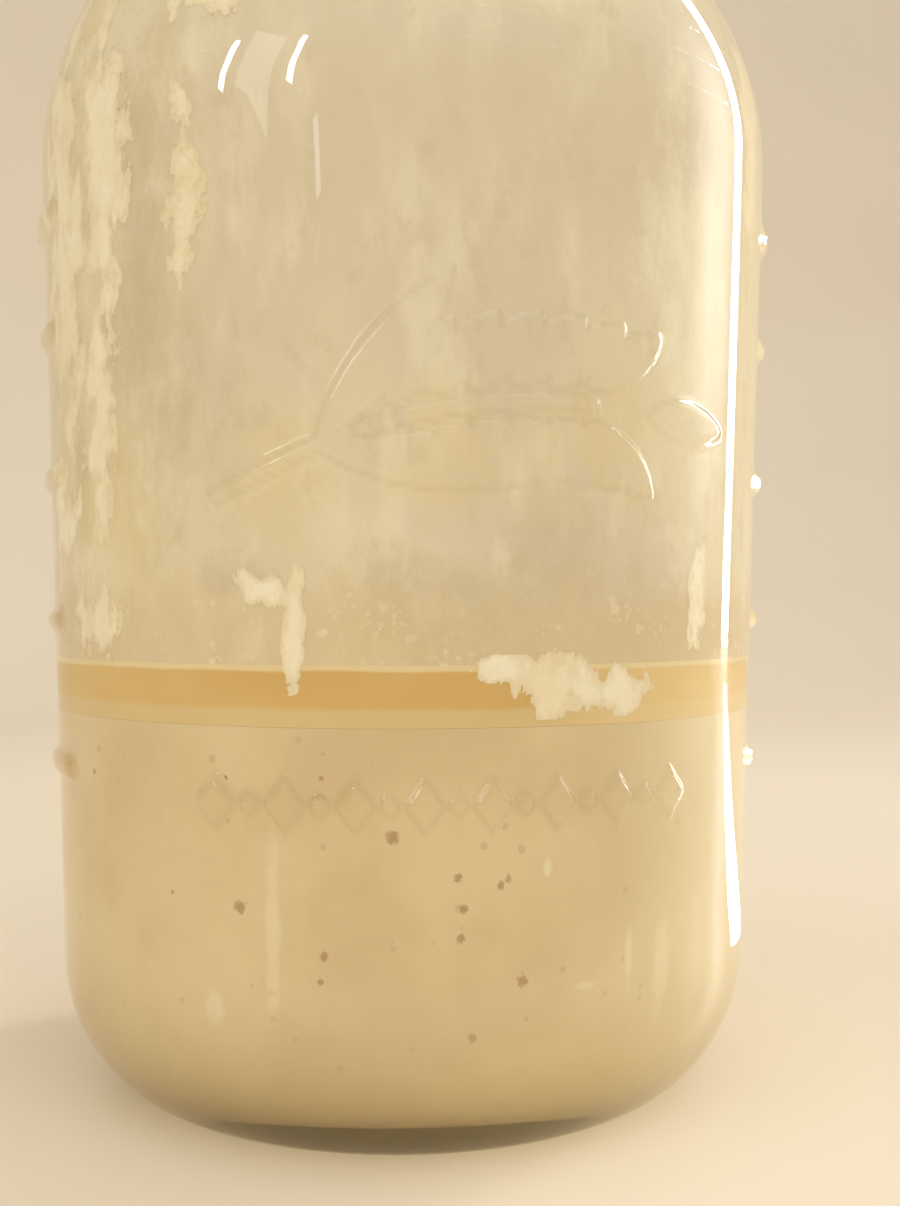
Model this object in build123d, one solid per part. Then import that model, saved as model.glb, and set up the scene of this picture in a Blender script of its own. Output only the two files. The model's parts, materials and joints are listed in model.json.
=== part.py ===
from build123d import *

import math
import os

# Sourdough starter jar: a wide-mouthed screw-top glass jar, the dough inside it and a two-piece
# metal lid. Lengths are millimetres, angles are degrees, +Z is up, the jar's axis is the Z axis
# and its bearing ring stands on Z = 0. The front of the jar faces -Y.

# Glass body
wall = 3.2                    # glass thickness of the side
neck_radius = 42.0            # outside of the neck
shoulder_step = 7.0           # how far the shoulder stands out from the neck
shoulder_level = 120.0        # height of the widest place
body_taper = 1.7              # lean of the side, narrower towards the heel
shoulder_slope = 28.0         # lean of the shoulder's steepest stretch
shoulder_bend_share = 0.62    # share of the step taken by the upper bend
neck_bend_share = 0.15        # share of the step taken by the lower bend
heel_bend = 20.0              # radius of the large heel curve
foot_bend = 9.0               # radius of the small curve down to the bearing ring
foot_turn = 40.0              # part of the quarter turn that the small curve makes
bearing_width = 4.0           # flat ring that the jar stands on
push_up = 3.0                 # rise of the middle of the base
base_thickness = 6.4
inside_heel_bend = 15.0

# Glass neck and its thread
neck_length = 5.0             # straight neck below the bead
bead_size = 1.5               # half thickness of the bead under the lid
finish_step = 0.9             # the threaded part is this much smaller than the neck
finish_height = 22.0          # bead to rim
lip_bend = 0.7
thread_pitch = 6.35
thread_depth = 1.4
thread_crest = 1.3            # half width of the ridge at its top
thread_root = 1.7             # half width of the ridge at the glass
thread_turns = 1.25
thread_drop = 3.4             # rim down to the middle of the thread's upper end
thread_bite = 0.5             # how deep a ridge is sunk into what carries it

# Raised ornament on the front: a sprig of grain over a row of lozenges
relief_height = 0.8           # how far it stands out of the side
sprig_level = 84.0            # middle of the sprig
sprig_half_span = 27.0        # half of its length across the front
sprig_bow = 70.0              # radius of its bowed stem
sprig_tilt = 9.0              # its right end is raised by this angle
stem_width = 1.7
stem_end_share = 0.56         # where the stem gives way to the last grain
grain_length = 12.0
grain_width = 4.8
grain_pairs = 6
grain_start_share = -0.22     # place of the first pair along the stem
grain_lean = 38.0             # angle between a grain and the stem
grain_offset = 5.4            # middle of a grain to the stem
leaf_length = 24.0
leaf_width = 5.6
leaf_lean = 30.0
leaf_share = -0.58            # place of the leaves along the stem
row_level = 41.7              # middle of the row of lozenges
row_half_span = 25.5
row_count = 8
lozenge_height = 5.8
lozenge_width = 4.2
row_dot_radius = 0.95

# Raised measure bars on the two sides
bar_azimuth = 76.0
bar_level_shares = (0.36, 0.51, 0.66, 0.81, 0.93)   # of the shoulder's level
bar_height = 2.4
bar_long = 15.0
bar_short = 9.0
bar_corner_share = 0.35       # corner radius as a share of the bar's height

# Contents and what they left on the glass
lining_gap = 0.02             # between the glass and what clings to it
starter_level = 49.8
hooch_depth = 6.1
film_thickness = 0.25
film_margin = 9.0             # clean glass between the film and the rim
smear_thickness = 0.8

# Smears of dried dough: azimuth of the middle, half width as an angle, and the shares of the
# way from the hooch up to the shoulder at which the smear starts and ends
smear_shares = (
    (-69.0, 7.5, 0.41, 1.22),
    (-55.0, 5.0, 0.66, 1.19),
    (-39.5, 3.0, 0.67, 0.98),
    (-34.0, 6.0, 1.13, 1.31),
    (-72.0, 6.0, 0.19, 0.37),
    (-60.0, 7.0, 0.02, 0.15),
    (-22.5, 1.7, 0.01, 0.16),
    (42.0, 2.2, 0.03, 0.23),
    (58.0, 5.0, 0.85, 1.33),
    (104.0, 8.0, 0.50, 1.10),
    (148.0, 11.0, 0.20, 0.95),
    (196.0, 7.0, 0.03, 0.48),
    (236.0, 9.0, 0.55, 1.30),
)

# Two-piece lid
seal_gap = 0.1                # between the seal and the rim
seal_width = 2.4
seal_thickness = 0.9
disc_sheet = 0.4
disc_skirt = 1.5              # down-turned edge of the disc
disc_clearance = 0.45         # between that edge and the glass
panel_rise = 0.8              # the middle of the disc is raised
panel_margin = 6.2            # flat rim of the disc outside the raised middle
panel_slope_run = 1.2
band_gap = 0.2                # between the band's flange and the disc
band_sheet = 0.6
band_flange = 5.0             # inward reach of the band's top from its inner face
band_height = 18.0
band_corner = 1.3
band_clearance = 0.45         # between the threads of band and glass, all round
band_thread_crest = 1.0
band_thread_root = 1.3
band_thread_turns = 1.1
band_flank_gap = 0.4          # between the flanks of the two threads
curl_size = 0.9               # half thickness of the rolled lower edge
groove_depth = 0.3            # outside groove where the band's thread is rolled in
groove_half_width = 1.1

# Sizes that follow
lean = math.radians(body_taper)
slope = math.radians(shoulder_slope)
shoulder_bend = shoulder_step * shoulder_bend_share / (math.cos(lean) - math.cos(slope))
neck_bend = shoulder_step * neck_bend_share / (1.0 - math.cos(slope))
slope_length = shoulder_step * (1.0 - shoulder_bend_share - neck_bend_share) / math.sin(slope)
shoulder_radius = neck_radius + shoulder_step
finish_radius = neck_radius - finish_step
mouth_radius = neck_radius - wall
rim_land = finish_radius - mouth_radius - 2.0 * lip_bend
disc_radius = finish_radius + disc_clearance + disc_sheet
band_inner = max(finish_radius + thread_depth, disc_radius) + band_clearance
band_outer = band_inner + band_sheet
reach = 2.0 * shoulder_radius


def side_radius(level):
    # Outside radius of the glass side at a height between the heel and the shoulder.
    return shoulder_radius - math.tan(lean) * (shoulder_level - level)


def trace(start, heading, moves):
    # Follows a line in the half plane of radius and height. A move is a length with no turn, or
    # a bend radius with the angle that it turns to the left, and a radius of zero is a corner.
    edges = []
    here = start
    for size, turn in moves:
        angle = math.radians(heading)
        heading += turn
        if size == 0:
            continue
        if turn == 0:
            there = (here[0] + size * math.cos(angle), here[1] + size * math.sin(angle))
            edges.append(straight(here, there))
        else:
            side = math.copysign(size, turn)
            centre = (here[0] - side * math.sin(angle), here[1] + side * math.cos(angle))
            halfway = angle + math.radians(turn / 2.0)
            full = angle + math.radians(turn)
            middle = (centre[0] + side * math.sin(halfway), centre[1] - side * math.cos(halfway))
            there = (centre[0] + side * math.sin(full), centre[1] - side * math.cos(full))
            edges.append(ThreePointArc(lift(here), lift(middle), lift(there)))
        here = there
    return edges, here


def lift(point):
    # A point of radius and height, as a point in space.
    return (point[0], 0, point[1])


def straight(a, b):
    return Line(lift(a), lift(b))


def dome(radius, low, rise):
    # A shallow arc from the axis, level there, down to a ring.
    bend = (radius ** 2 + rise ** 2) / (2.0 * rise)
    half = radius / 2.0
    middle = low + rise - bend + math.sqrt(bend ** 2 - half ** 2)
    return ThreePointArc(lift((0, low + rise)), lift((half, middle)), lift((radius, low)))


def spin(edges):
    # Closes a ring of edges in the half plane and turns it once round the jar's axis.
    return revolve(make_face(Wire.combine(edges)[0]), Axis.Z)


def ring(inner, outer, low, high):
    corners = [(inner, low), (outer, low), (outer, high), (inner, high)]
    return spin([straight(a, b) for a, b in zip(corners, corners[1:] + corners[:1])])


def slab(low, high):
    # All that lies between two heights.
    return Pos(0, 0, (low + high) / 2.0) * Box(2.0 * reach, 2.0 * reach, high - low)


# The outside line of the glass, from the bearing ring to the rim
foot_moves = [(foot_bend, foot_turn), (heel_bend, 90.0 - body_taper - foot_turn)]
heel_reach = trace((0, 0), 0.0, foot_moves)[1]
heel_top = heel_reach[1]
bearing_outer = side_radius(heel_top) - heel_reach[0]
bearing_inner = bearing_outer - bearing_width
side_length = (shoulder_level - heel_top) / math.cos(lean)


def upper_moves(inset):
    # Shoulder and neck, as far inside the glass's outside line as the inset says.
    return [
        (shoulder_bend - inset, shoulder_slope + body_taper),
        (slope_length, 0),
        (neck_bend + inset, -shoulder_slope),
        (neck_length, 0),
    ]


bead_level = trace((shoulder_radius, shoulder_level), 90.0 - body_taper, upper_moves(0))[1][1]
rim_level = bead_level + finish_height
hooch_level = starter_level + hooch_depth
thread_level = rim_level - thread_drop - thread_turns * thread_pitch


def inside_line(inset):
    # The inside of the glass, from the axis over the floor and up to the top of the neck.
    floor = base_thickness + inset - wall
    bend = inside_heel_bend + wall - inset
    shoulder = (shoulder_radius - inset * math.cos(lean), shoulder_level + inset * math.sin(lean))
    corner_top = floor + bend * (1.0 - math.sin(lean))
    rise = shoulder[1] - corner_top
    floor_edge = shoulder[0] - math.tan(lean) * rise - bend * math.cos(lean)
    moves = [(bend, 90.0 - body_taper), (rise / math.cos(lean), 0)] + upper_moves(inset)
    edges, end = trace((floor_edge, floor), 0.0, moves)
    return [dome(floor_edge, floor, push_up)] + edges, end, floor + push_up


def hollow(inset):
    # The room inside the glass, open past the rim.
    edges, end, floor_top = inside_line(inset)
    top = rim_level + reach
    edges += [straight(end, (end[0], top)), straight((end[0], top), (0, top))]
    edges.append(straight((0, top), (0, floor_top)))
    return spin(edges)


def helix_ridge(radius, depth, root, crest, turns, level):
    # A right-handed ridge wound round the axis from a height upwards. It stands out of its
    # radius by the depth, or in where the depth is negative.
    path = Helix(pitch=thread_pitch, height=thread_pitch * turns, radius=radius)
    back = -math.copysign(thread_bite, depth)
    corners = [(back, -root), (depth, -crest), (depth, crest), (back, root)]
    if depth < 0:
        corners.reverse()
    section = Plane(origin=path @ 0, x_dir=(1, 0, 0), z_dir=path % 0) * make_face(Polyline(*corners, close=True))
    return Pos(0, 0, level) * sweep(section, path=path, is_frenet=True)


def lens(length, width):
    # A pointed oval, for grains and leaves.
    tip = length / 2.0
    upper = ThreePointArc((-tip, 0), (0, width / 2.0), (tip, 0))
    lower = ThreePointArc((tip, 0), (0, -width / 2.0), (-tip, 0))
    return make_face([upper, lower])


def stem_place(share):
    # A place on the bowed stem, with the stem's direction there.
    swing = math.degrees(math.asin(sprig_half_span / sprig_bow)) * share
    angle = math.radians(swing)
    return Pos(sprig_bow * math.sin(angle), sprig_bow * (math.cos(angle) - 1.0)) * Rot(0, 0, -swing)


def stem():
    outer = sprig_bow + stem_width / 2.0
    inner = sprig_bow - stem_width / 2.0
    swing = math.asin(sprig_half_span / sprig_bow)
    spots = []
    for radius in (outer, inner):
        for share in (-1.0, (stem_end_share - 1.0) / 2.0, stem_end_share):
            angle = swing * share
            spots.append((radius * math.sin(angle), radius * math.cos(angle) - sprig_bow))
    edges = [ThreePointArc(*spots[:3]), ThreePointArc(*spots[3:])]
    edges += [Line(spots[0], spots[3]), Line(spots[2], spots[5])]
    return make_face(edges)


def sprig():
    pieces = [stem()]
    for index in range(grain_pairs):
        share = grain_start_share + (stem_end_share - grain_start_share) * index / (grain_pairs - 1)
        for side in (1.0, -1.0):
            place = stem_place(share) * Pos(grain_length / 4.0, side * grain_offset) * Rot(0, 0, side * grain_lean)
            pieces.append(place * lens(grain_length, grain_width))
    tip = stem_place(stem_end_share) * Pos(grain_length, 0)
    pieces.append(tip * lens(grain_length, grain_width))
    for side in (1.0, -1.0):
        place = stem_place(leaf_share) * Rot(0, 0, side * leaf_lean) * Pos(leaf_length / 2.0, 0)
        pieces.append(place * lens(leaf_length, leaf_width))
    return [Pos(0, sprig_level) * Rot(0, 0, sprig_tilt) * piece for piece in pieces]


def lozenge_row():
    pieces = []
    step = 2.0 * row_half_span / (row_count - 1)
    half_width = lozenge_width / 2.0
    half_height = lozenge_height / 2.0
    for index in range(row_count):
        x = index * step - row_half_span
        corners = [(-half_width, 0), (0, -half_height), (half_width, 0), (0, half_height)]
        pieces.append(Pos(x, row_level) * make_face(Polyline(*corners, close=True)))
        if index < row_count - 1:
            pieces.append(Pos(x + step / 2.0, row_level) * Circle(row_dot_radius))
    return pieces


def measure_bars():
    pieces = []
    for index, share in enumerate(bar_level_shares):
        length = bar_long if index % 2 == 0 else bar_short
        bar = RectangleRounded(length, bar_height, bar_height * bar_corner_share)
        pieces.append(Pos(0, shoulder_level * share) * bar)
    return pieces


def raised(faces, azimuth):
    # Flat figures, drawn as seen from the front, raised out of the glass side at an azimuth.
    low = side_radius(heel_top)
    high = side_radius(shoulder_level)
    sunk = wall / 4.0
    corners = [
        (low - sunk, heel_top),
        (low + relief_height, heel_top),
        (high + relief_height, shoulder_level),
        (high - sunk, shoulder_level),
    ]
    skin = spin([straight(a, b) for a, b in zip(corners, corners[1:] + corners[:1])])
    figures = faces[0].fuse(*faces[1:]).faces()
    pieces = [skin & extrude(Plane.XZ * figure, amount=reach) for figure in figures]
    return [Rot(0, 0, azimuth) * piece for piece in pieces]


def glass_jar():
    foot, heel = trace((bearing_outer, 0), 0.0, foot_moves)
    rim_moves = [
        (0, 90.0),
        (finish_step, 0),
        (0, -90.0),
        (finish_height - lip_bend, 0),
        (lip_bend, 90.0),
        (rim_land, 0),
        (lip_bend, 90.0),
    ]
    outside, lip = trace(heel, 90.0 - body_taper, [(side_length, 0)] + upper_moves(0) + rim_moves)
    inside, neck, floor_top = inside_line(wall)
    edges = [straight((bearing_inner, 0), (bearing_outer, 0))] + foot + outside + inside
    edges += [straight(neck, lip), straight((0, push_up), (0, floor_top)), dome(bearing_inner, 0, push_up)]
    jar = spin(edges)
    jar += Pos(0, 0, bead_level) * Torus(neck_radius - bead_size / 3.0, bead_size)
    jar += helix_ridge(finish_radius, thread_depth, thread_root, thread_crest, thread_turns, thread_level)
    ornaments = raised(sprig() + lozenge_row(), 0)
    ornaments += raised(measure_bars(), bar_azimuth) + raised(measure_bars(), -bar_azimuth)
    return jar.fuse(*ornaments)


def lining(inset, thickness, low, high):
    # A layer on the inside of the glass between two heights.
    return (hollow(inset) - hollow(inset + thickness)) & slab(low, high)


def thick_smears():
    # Long rounded patches of dried dough that cling to the film.
    inset = wall + 2.0 * lining_gap + film_thickness
    climb = shoulder_level - hooch_level
    layer = lining(inset, smear_thickness, hooch_level + lining_gap, rim_level - film_margin)
    patches = []
    for azimuth, half_angle, start, end in smear_shares:
        width = 2.0 * shoulder_radius * math.sin(math.radians(half_angle))
        height = climb * (end - start)
        level = hooch_level + climb * (start + end) / 2.0
        figure = Pos(0, level) * Ellipse(width / 2.0, height / 2.0)
        patches.append(Rot(0, 0, azimuth) * (layer & extrude(Plane.XZ * figure, amount=reach)))
    return Compound(children=[solid for patch in patches for solid in patch.solids()])


def sealing_ring():
    middle = (mouth_radius + finish_radius) / 2.0
    low = rim_level + seal_gap
    return ring(middle - seal_width / 2.0, middle + seal_width / 2.0, low, low + seal_thickness)


def lid_disc():
    # Pressed sheet: a raised middle, a flat rim over the seal and a short down-turned edge.
    low = rim_level + seal_gap + seal_thickness
    top = low + disc_sheet
    slope_out = disc_radius - panel_margin
    slope_in = slope_out - panel_slope_run
    upper = [(0, top + panel_rise), (slope_in, top + panel_rise), (slope_out, top), (disc_radius, top)]
    edge = [(disc_radius, top - disc_skirt), (disc_radius - disc_sheet, top - disc_skirt)]
    lower = [(disc_radius - disc_sheet, low), (slope_out, low), (slope_in, low + panel_rise), (0, low + panel_rise)]
    corners = upper + edge + lower
    return spin([straight(a, b) for a, b in zip(corners, corners[1:] + corners[:1])])


def screw_band():
    flange_low = rim_level + seal_gap + seal_thickness + disc_sheet + band_gap
    top = flange_low + band_sheet
    foot = top - band_height
    flange_radius = band_inner - band_flange
    side = top - band_corner - foot
    moves = [
        (side, 0),
        (band_corner, 90.0),
        (band_outer - band_corner - flange_radius, 0),
        (0, 90.0),
        (band_sheet, 0),
        (0, 90.0),
        (band_inner - flange_radius - band_corner + band_sheet, 0),
        (band_corner - band_sheet, -90.0),
        (side, 0),
    ]
    edges, end = trace((band_outer, foot), 90.0, moves)
    band = spin(edges + [straight(end, (band_outer, foot))])
    band += Pos(0, 0, foot + curl_size) * Torus(band_outer + curl_size / 2.0, curl_size)
    drop = thread_root + band_thread_crest + band_flank_gap
    depth = band_inner - finish_radius - band_clearance
    level = thread_level - drop
    band += helix_ridge(band_inner, -depth, band_thread_root, band_thread_crest, band_thread_turns, level)
    half = groove_half_width
    return band - helix_ridge(band_outer, -groove_depth, half, half / 2.0, band_thread_turns, level)


film_low = hooch_level + lining_gap
parts = {
    "glass_jar": glass_jar(),
    "starter": hollow(wall + lining_gap) & slab(0, starter_level),
    "hooch": hollow(wall + lining_gap) & slab(starter_level, hooch_level),
    "dried_film": lining(wall + lining_gap, film_thickness, film_low, rim_level - film_margin),
    "thick_smears": thick_smears(),
    "lid_disc": lid_disc(),
    "sealing_ring": sealing_ring(),
    "screw_band": screw_band(),
}

os.makedirs("parts", exist_ok=True)
for name, shape in parts.items():
    export_step(shape, f"parts/{name}.step")
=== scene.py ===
import json
import math

import bpy
import numpy as np
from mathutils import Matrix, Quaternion, Vector, noise

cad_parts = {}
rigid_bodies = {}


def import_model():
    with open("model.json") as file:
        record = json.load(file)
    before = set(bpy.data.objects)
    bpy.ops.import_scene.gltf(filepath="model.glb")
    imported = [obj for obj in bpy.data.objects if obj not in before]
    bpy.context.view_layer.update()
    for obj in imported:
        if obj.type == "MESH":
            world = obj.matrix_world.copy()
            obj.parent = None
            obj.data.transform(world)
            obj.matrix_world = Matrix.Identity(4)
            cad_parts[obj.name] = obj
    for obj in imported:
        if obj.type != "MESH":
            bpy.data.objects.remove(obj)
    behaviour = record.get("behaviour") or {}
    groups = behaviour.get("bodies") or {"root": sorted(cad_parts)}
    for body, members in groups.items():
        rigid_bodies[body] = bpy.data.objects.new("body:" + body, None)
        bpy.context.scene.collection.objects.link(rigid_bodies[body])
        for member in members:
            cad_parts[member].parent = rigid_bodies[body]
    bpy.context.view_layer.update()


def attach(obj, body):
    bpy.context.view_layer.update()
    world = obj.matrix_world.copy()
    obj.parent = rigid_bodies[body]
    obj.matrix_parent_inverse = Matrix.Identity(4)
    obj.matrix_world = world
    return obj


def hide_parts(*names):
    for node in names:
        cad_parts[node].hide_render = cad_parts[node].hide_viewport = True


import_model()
mm = 0.001
for thing in list(bpy.data.objects):     # what a new file holds is cleared away
    if thing.name in ("Cube", "Light", "Camera"):
        bpy.data.objects.remove(thing)
print("frame loaded")


# The camera of the photograph: image 900 x 1206, the jar's axis left of the middle
camera = dict(
    imageHeight=1206.0,       # pixels
    focal=1351.0,             # pixels
    distance=190.0 * mm,      # from the jar's axis
    height=62.8 * mm,
    azimuth=-7.0,             # degrees to the left of the jar's front
    axisOffset=44.5,          # pixels that the axis lies left of the middle
    rise=0.2,                 # degrees that it looks up
    sensor=36.0,
)

# The jar's outline, in millimetres and degrees, as the solid has it
jar = dict(
    wall=3.2, neckRadius=42.0, shoulderStep=7.0, shoulderLevel=120.0, taper=1.7,
    shoulderSlope=28.0, shoulderShare=0.62, neckShare=0.15, heelBend=20.0, footBend=9.0,
    footTurn=40.0, bearingWidth=4.0, pushUp=3.0, baseThickness=6.4, insideHeelBend=15.0,
    neckLength=5.0, beadSize=1.5, beadShown=1.0 / 3.0, finishStep=0.9, finishHeight=22.0, lipBend=0.7,
    threadPitch=6.35, threadDepth=1.4, threadTurns=1.25, threadDrop=3.4, threadHalfWidth=1.9,
    threadSoft=0.9, threadFade=0.25, starterLevel=49.8, hoochDepth=6.1, filmMargin=9.0,
    # steps and degrees of the mesh round the jar: right-hand side, front, left-hand side, back
    spins=[(32, 40.0), (230, 100.0), (33, 40.0), (48, 180.0)], insideGap=6.0, domeSteps=10,
)


# Places and lines: a point of a line is a radius and a height
def around(azimuth, distance, height):
    # a place so many degrees to the right of the jar's front
    turn = math.radians(azimuth)
    return Vector((distance * math.sin(turn), -distance * math.cos(turn), height))


def between(a, b, share):
    return a[0] + (b[0] - a[0]) * share, a[1] + (b[1] - a[1]) * share


def evenly(a, b, count):
    # from one point to the other, without the first
    return [between(a, b, index / count) for index in range(1, count + 1)]


def arcPoints(centre, radius, start, turn, count):
    angles = [math.radians(start + turn * index / count) for index in range(count + 1)]
    return [(centre[0] + radius * math.cos(a), centre[1] + radius * math.sin(a)) for a in angles]


def runLine(start, heading, moves, arcStep=6.0):
    # straight lengths, and bends that turn to the left
    points = [start]
    for size, turn in moves:
        r, z = points[-1]
        angle = math.radians(heading)
        if turn == 0:
            points.append((r + size * math.cos(angle), z + size * math.sin(angle)))
            continue
        side = math.copysign(1.0, turn)
        centre = (r - side * size * math.sin(angle), z + side * size * math.cos(angle))
        count = max(2, math.ceil(abs(turn) / arcStep))
        points += arcPoints(centre, size, heading - side * 90.0, turn, count)[1:]
        heading += turn
    return points


longStretch = 8.0         # shorter ones are divided evenly


def resample(points, gapAt):
    # as close as the gap wanted at each height
    made = [points[0]]
    for a, b in zip(points, points[1:]):
        length = math.dist(a, b)
        if length <= longStretch:
            made += evenly(a, b, math.ceil(length / gapAt((a[1] + b[1]) / 2.0)))
            continue
        share = 0.0
        while share < 1.0:
            share = min(1.0, share + gapAt(between(a, b, share)[1]) / length)
            made.append(between(a, b, share))
    return made


# Outline of the glass
taper = math.radians(jar["taper"])
slope = math.radians(jar["shoulderSlope"])
shoulderRadius = jar["neckRadius"] + jar["shoulderStep"]
shoulderBend = jar["shoulderStep"] * jar["shoulderShare"] / (math.cos(taper) - math.cos(slope))
neckBend = jar["shoulderStep"] * jar["neckShare"] / (1.0 - math.cos(slope))
slopeLength = jar["shoulderStep"] * (1.0 - jar["shoulderShare"] - jar["neckShare"]) / math.sin(slope)
finishRadius = jar["neckRadius"] - jar["finishStep"]
mouthRadius = jar["neckRadius"] - jar["wall"]
footMoves = [(jar["footBend"], jar["footTurn"]), (jar["heelBend"], 90.0 - jar["taper"] - jar["footTurn"])]
heelReach, heelTop = runLine((0, 0), 0.0, footMoves)[-1]


def sideRadius(level):
    return shoulderRadius - math.tan(taper) * (jar["shoulderLevel"] - level)


def upperMoves(inset):
    return [
        (shoulderBend - inset, jar["shoulderSlope"] + jar["taper"]),
        (slopeLength, 0),
        (neckBend + inset, -jar["shoulderSlope"]),
        (jar["neckLength"], 0),
    ]


bearingOuter = sideRadius(heelTop) - heelReach
bearingInner = bearingOuter - jar["bearingWidth"]
sideLength = (jar["shoulderLevel"] - heelTop) / math.cos(taper)
beadLevel = runLine((shoulderRadius, jar["shoulderLevel"]), 90.0 - jar["taper"], upperMoves(0))[-1][1]
rimLevel = beadLevel + jar["finishHeight"]
hoochLevel = jar["starterLevel"] + jar["hoochDepth"]
threadLevel = rimLevel - jar["threadDrop"] - jar["threadTurns"] * jar["threadPitch"]


def domePoints(radius, low, rise):
    # from the axis outwards
    bend = (radius ** 2 + rise ** 2) / (2.0 * rise)
    radii = [radius * index / jar["domeSteps"] for index in range(jar["domeSteps"] + 1)]
    return [(r, low + rise - bend + math.sqrt(bend ** 2 - r ** 2)) for r in radii]


def insidePoints(inset):
    floor = jar["baseThickness"] + inset - jar["wall"]
    bend = jar["insideHeelBend"] + jar["wall"] - inset
    shoulder = (shoulderRadius - inset * math.cos(taper), jar["shoulderLevel"] + inset * math.sin(taper))
    rise = shoulder[1] - floor - bend * (1.0 - math.sin(taper))
    floorEdge = shoulder[0] - math.tan(taper) * rise - bend * math.cos(taper)
    moves = [(bend, 90.0 - jar["taper"]), (rise / math.cos(taper), 0)] + upperMoves(inset)
    return domePoints(floorEdge, floor, jar["pushUp"])[:-1] + runLine((floorEdge, floor), 0.0, moves)


def insideRadius(inset):
    # radius of the inside as a function of height, for pieces that cling to the glass
    radii, levels = zip(*insidePoints(inset)[jar["domeSteps"]:])
    return lambda level: float(np.interp(level, levels, radii))


def switchTo(mode):
    bpy.ops.object.mode_set(mode=mode)


# A turned piece: one vertex is extruded along the outline, and the line is spun round the axis
def turnPiece(name, points, spins, closed=False, crease=40.0):
    bpy.ops.mesh.primitive_plane_add(size=mm, location=(points[0][0] * mm, 0, points[0][1] * mm))
    piece = bpy.context.object
    piece.name = name
    bpy.ops.object.transform_apply()
    switchTo("EDIT")
    bpy.ops.mesh.merge(type="CENTER")
    line = points + points[:1] if closed else points
    for here, there in zip(line, line[1:]):
        step = ((there[0] - here[0]) * mm, 0, (there[1] - here[1]) * mm)
        bpy.ops.mesh.extrude_region_move(TRANSFORM_OT_translate={"value": step})
    bpy.ops.mesh.select_all(action="SELECT")
    for steps, angle in spins:
        bpy.ops.mesh.spin(steps=steps, angle=math.radians(angle), center=(0, 0, 0), axis=(0, 0, 1))
    bpy.ops.mesh.select_all(action="SELECT")
    bpy.ops.mesh.remove_doubles(threshold=0.01 * mm)
    bpy.ops.mesh.normals_make_consistent(inside=False)
    switchTo("OBJECT")
    bpy.ops.object.shade_smooth_by_angle(angle=math.radians(crease))
    return piece


def readPlaces(piece):
    places = np.empty(len(piece.data.vertices) * 3)
    piece.data.vertices.foreach_get("co", places)
    return places.reshape(-1, 3) / mm


def writePlaces(piece, places):
    piece.data.vertices.foreach_set("co", (places * mm).ravel())
    piece.data.update()


def smooth(share):
    share = np.clip(share, 0.0, 1.0)
    return share * share * (3.0 - 2.0 * share)


def ridge(x, y, z, start, turns, halfWidth, soft):
    # winds upwards from the right-hand side, and thins out at both ends
    turned = np.mod(np.arctan2(y, x), math.tau)
    height = np.zeros_like(z)
    for swept in (turned, turned + math.tau):
        middle = start + jar["threadPitch"] * swept / math.tau
        ends = np.clip(np.minimum(swept, turns * math.tau - swept) / jar["threadFade"], 0.0, 1.0)
        height = np.maximum(height, smooth((halfWidth - np.abs(z - middle)) / soft) * ends)
    return height


# Raised ornament of the glass: how far a place lies outside each figure, in millimetres
ornament = dict(
    height=0.85, soft=1.0, lowest=33.0, highest=116.0, frontReach=60.0, barReach=20.0,
    sprigLevel=84.0, halfSpan=27.0, bow=70.0, tilt=9.0, stemWidth=1.7, stemEnd=0.56,
    grainLength=12.0, grainWidth=4.8, grainPairs=6, grainStart=-0.22, grainLean=38.0, grainOffset=5.4,
    leafLength=24.0, leafWidth=5.6, leafLean=30.0, leafShare=-0.58,
    rowLevel=41.7, rowHalfSpan=25.5, rowCount=8, lozengeHeight=5.8, lozengeWidth=4.2, dotRadius=0.95,
    barAzimuth=76.0, barShares=(0.36, 0.51, 0.66, 0.81, 0.93), barHeight=2.4, barRound=0.84,
    barLong=15.0, barShort=9.0,
    # gap between the mesh's points up to each height, the closest where the ornament is
    gaps=((35.0, 2.8), (38.0, 0.95), (45.5, 0.56), (64.0, 0.95), (103.0, 0.56), (114.0, 0.95),
          (beadLevel + 3.0, 2.8), (rimLevel, 0.85)),
)
farAway = 99.0
touching = 0.05           # closer than this, two places count as one


def lensDistance(x, z, centre, angle, length, width):
    cosine, sine = math.cos(math.radians(angle)), math.sin(math.radians(angle))
    u = np.abs((x - centre[0]) * cosine + (z - centre[1]) * sine)
    v = np.abs((z - centre[1]) * cosine - (x - centre[0]) * sine)
    tip, half = length / 2.0, width / 2.0
    bend = (tip ** 2 + half ** 2) / (2.0 * half)
    drop = bend - half
    pastTip = u * drop > tip * (v + drop)
    return np.where(pastTip, np.hypot(u - tip, v), np.hypot(u, v + drop) - bend)


def stemPlace(share, along=0.0, across=0.0, lean=0.0):
    # a place beside the bowed stem, measured along the heading there, and that heading
    bow = ornament["bow"]
    swing = math.asin(ornament["halfSpan"] / bow) * share
    angle = math.radians(lean) - swing
    x = bow * math.sin(swing) + along * math.cos(angle) - across * math.sin(angle)
    z = bow * (math.cos(swing) - 1.0) + along * math.sin(angle) + across * math.cos(angle)
    return (x, z), math.degrees(angle)


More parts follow.
